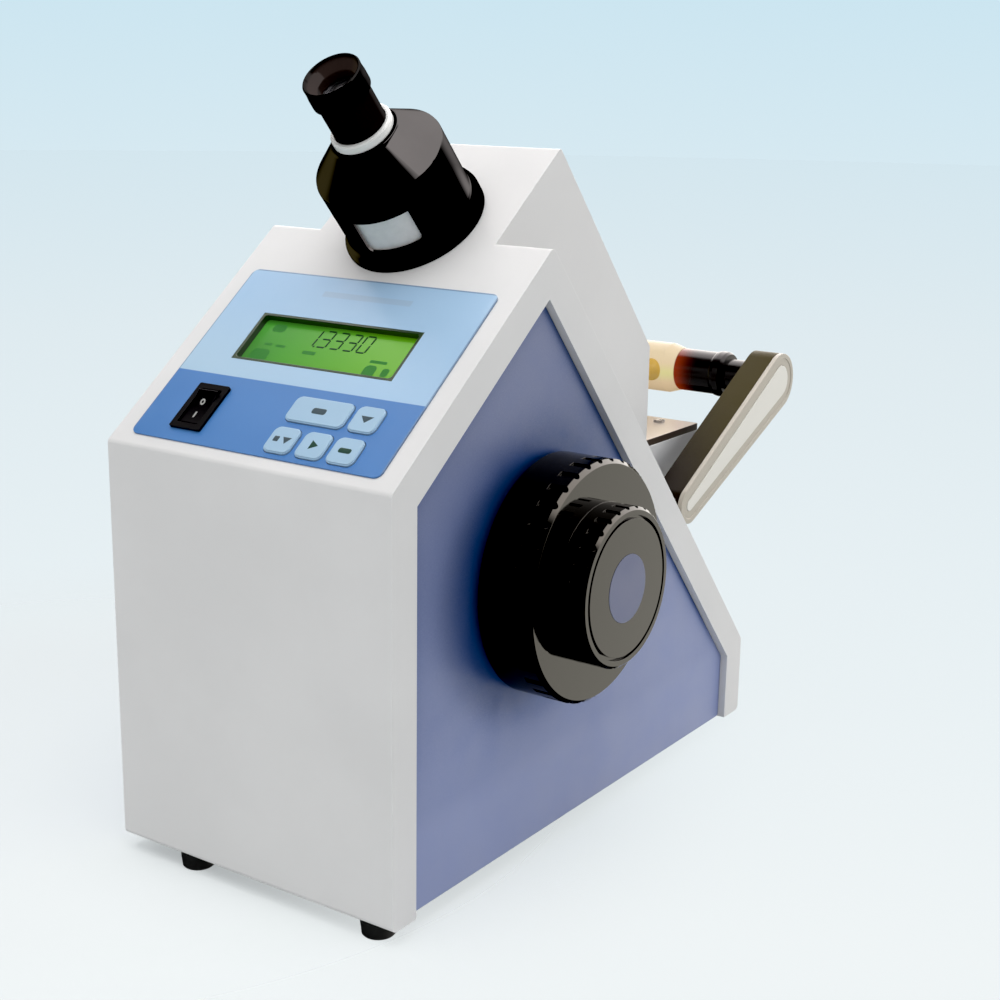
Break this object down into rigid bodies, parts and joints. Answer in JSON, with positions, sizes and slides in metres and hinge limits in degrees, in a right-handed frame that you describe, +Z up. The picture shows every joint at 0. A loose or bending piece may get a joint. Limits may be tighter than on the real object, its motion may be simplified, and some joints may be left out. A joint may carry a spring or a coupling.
{
  "type": "digital abbe refractometer",
  "caption": "Bench refractometer: sloping control face with display and keys, sighting eyepiece, large side handwheel, and a rear prism box with a swinging lamp arm.",
  "frame": {"origin": "middle of the casing's footprint, on the bench", "axes": "+Z up; the front wall and control slope face -Y; the handwheel is on +X"},
  "size_m": [0.2161, 0.4003, 0.3915],
  "materials": {
    "casing_white": "satin paint",
    "panel_blue": "satin paint",
    "plate_grey": "matt paint",
    "rubber_black": "matt",
    "overlay_blue": "printed film",
    "bezel_dark": "gloss",
    "display_green": "back-lit display",
    "board_green": "solder mask",
    "key_blue": "satin",
    "switch_black": "gloss",
    "connector_black": "moulded",
    "transformer_core": "varnished laminations",
    "bench_metal": "machined",
    "steel": "ground",
    "brass": "machined",
    "mirror_coating": "front-silvered",
    "optic_glass": "polished",
    "anodised_black": "black gloss enamel",
    "wheel_silver": "satin anodised",
    "cap_violet": "satin",
    "ring_white": "gloss",
    "prism_metal": "satin chrome",
    "table_cream": "satin enamel",
    "arm_dark": "gloss enamel",
    "rim_beige": "satin",
    "inlay_white": "satin",
    "opal_glass": "opal",
    "lamp_glass": "frosted"
  },
  "bodies": {
    "casing": {"main_casing": "casing_white", "side_panel_right": "panel_blue", "side_panel_left": "panel_blue", "base_plate": "plate_grey", "rubber_feet": "rubber_black", "control_overlay": "overlay_blue", "lcd_bezel": "bezel_dark", "lcd_panel": "display_green", "display_board": "board_green", "rocker_bezel": "switch_black", "main_board": "board_green", "transformer": "transformer_core", "power_inlet": "connector_black", "serial_socket": "steel", "optical_bench": "bench_metal", "shaft_bush": "brass", "fold_mirror": "mirror_coating", "telescope_tube": "anodised_black", "objective_lens": "optic_glass", "dispersion_cup": "anodised_black", "trim_ring": "ring_white", "prism_box": "prism_metal", "prism_table": "table_cream", "table_screws": "steel", "measuring_prism": "optic_glass", "hose_nipples": "steel", "temperature_probe": "connector_black", "prism_hinge_pin": "steel", "arm_pivot_pin": "steel"},
    "wheel": {"handwheel": "anodised_black", "handwheel_cap": "cap_violet", "handwheel_shaft": "steel", "pinion": "brass"},
    "mirror": {"sector_gear": "brass", "mirror_shaft": "steel", "scan_mirror": "mirror_coating", "encoder_disc": "bench_metal"},
    "dispersion": {"dispersion_wheel": "wheel_silver", "amici_prism_front": "optic_glass"},
    "rear_prism": {"amici_prism_rear": "optic_glass"},
    "idler": {"reversing_idler": "brass"},
    "lens_carrier": {"eye_lens_cell": "bench_metal"},
    "eyepiece": {"eyepiece_barrel": "anodised_black", "eyecup": "anodised_black"},
    "read_key": {"key_read": "key_blue"},
    "scale_key": {"key_scale": "key_blue"},
    "left_key": {"key_left": "key_blue"},
    "middle_key": {"key_middle": "key_blue"},
    "right_key": {"key_right": "key_blue"},
    "rocker": {"power_rocker": "switch_black"},
    "prism_lid": {"upper_prism_box": "prism_metal", "illuminating_prism": "optic_glass"},
    "lock": {"lock_knob": "anodised_black"},
    "arm": {"lamp_arm": "arm_dark", "arm_rim_plate": "rim_beige", "arm_inlay": "inlay_white"},
    "lamp": {"lamp_tube": "anodised_black", "opal_sleeve": "opal_glass", "condenser_lens": "optic_glass", "lamp_bulb": "lamp_glass"}
  },
  "joints": [
    {"name": "handwheel_turn", "type": "hinge", "parent": "casing", "child": "wheel", "pos_m": [0, -0.0465, 0.1485], "axis": [1, 0, 0], "range_deg": [-90, 90]},
    {"name": "mirror_turn", "type": "hinge", "parent": "casing", "child": "mirror", "pos_m": [0, 0.02121, 0.13036], "axis": [1, 0, 0], "range_deg": [-15.01, 15.01]},
    {"name": "dispersion_turn", "type": "hinge", "parent": "casing", "child": "dispersion", "pos_m": [0, -0.04234, 0.31174], "axis": [0, -0.6691, 0.7431], "continuous": true},
    {"name": "rear_prism_turn", "type": "hinge", "parent": "casing", "child": "rear_prism", "pos_m": [0, -0.04234, 0.31174], "axis": [0, -0.6691, 0.7431], "continuous": true},
    {"name": "idler_turn", "type": "hinge", "parent": "casing", "child": "idler", "pos_m": [0, -0.05941, 0.33069], "axis": [1, 0, 0], "continuous": true},
    {"name": "focus_travel", "type": "slide", "parent": "casing", "child": "lens_carrier", "axis": [0, -0.6691, 0.7431], "range_m": [-0.00301, 0.00301]},
    {"name": "focus_turn", "type": "hinge", "parent": "lens_carrier", "child": "eyepiece", "pos_m": [0, -0.08249, 0.35633], "axis": [0, -0.6691, 0.7431], "range_deg": [-90, 90]},
    {"name": "read_key_press", "type": "slide", "parent": "casing", "child": "read_key", "axis": [0, 0.6157, -0.788], "range_m": [0, 0.0008]},
    {"name": "scale_key_press", "type": "slide", "parent": "casing", "child": "scale_key", "axis": [0, 0.6157, -0.788], "range_m": [0, 0.0008]},
    {"name": "left_key_press", "type": "slide", "parent": "casing", "child": "left_key", "axis": [0, 0.6157, -0.788], "range_m": [0, 0.0008]},
    {"name": "middle_key_press", "type": "slide", "parent": "casing", "child": "middle_key", "axis": [0, 0.6157, -0.788], "range_m": [0, 0.0008]},
    {"name": "right_key_press", "type": "slide", "parent": "casing", "child": "right_key", "axis": [0, 0.6157, -0.788], "range_m": [0, 0.0008]},
    {"name": "power_rock", "type": "hinge", "parent": "casing", "child": "rocker", "pos_m": [-0.0445, -0.14795, 0.22796], "axis": [1, 0, 0], "range_deg": [-14, 0]},
    {"name": "prism_lid_open", "type": "hinge", "parent": "casing", "child": "prism_lid", "pos_m": [-0.027, 0.134, 0.19], "axis": [0, -1, 0], "range_deg": [0, 85]},
    {"name": "lock_turn", "type": "hinge", "parent": "prism_lid", "child": "lock", "pos_m": [0.025, 0.134, 0.206], "axis": [1, 0, 0], "range_deg": [0, 90]},
    {"name": "arm_swing", "type": "hinge", "parent": "casing", "child": "arm", "pos_m": [0.07, 0.104, 0.15], "axis": [1, 0, 0], "range_deg": [-40, 45]},
    {"name": "lamp_turn", "type": "hinge", "parent": "arm", "child": "lamp", "pos_m": [0.06, 0.21353, 0.20485], "axis": [1, 0, 0], "range_deg": [-60, 60]}
  ],
  "couplings": [
    {"joint": "mirror_turn", "follows": "handwheel_turn", "ratio": -0.16667},
    {"joint": "rear_prism_turn", "follows": "dispersion_turn", "ratio": -1},
    {"joint": "idler_turn", "follows": "dispersion_turn", "ratio": -6},
    {"joint": "focus_travel", "follows": "focus_turn", "m_per_rad": 0.0019099}
  ]
}
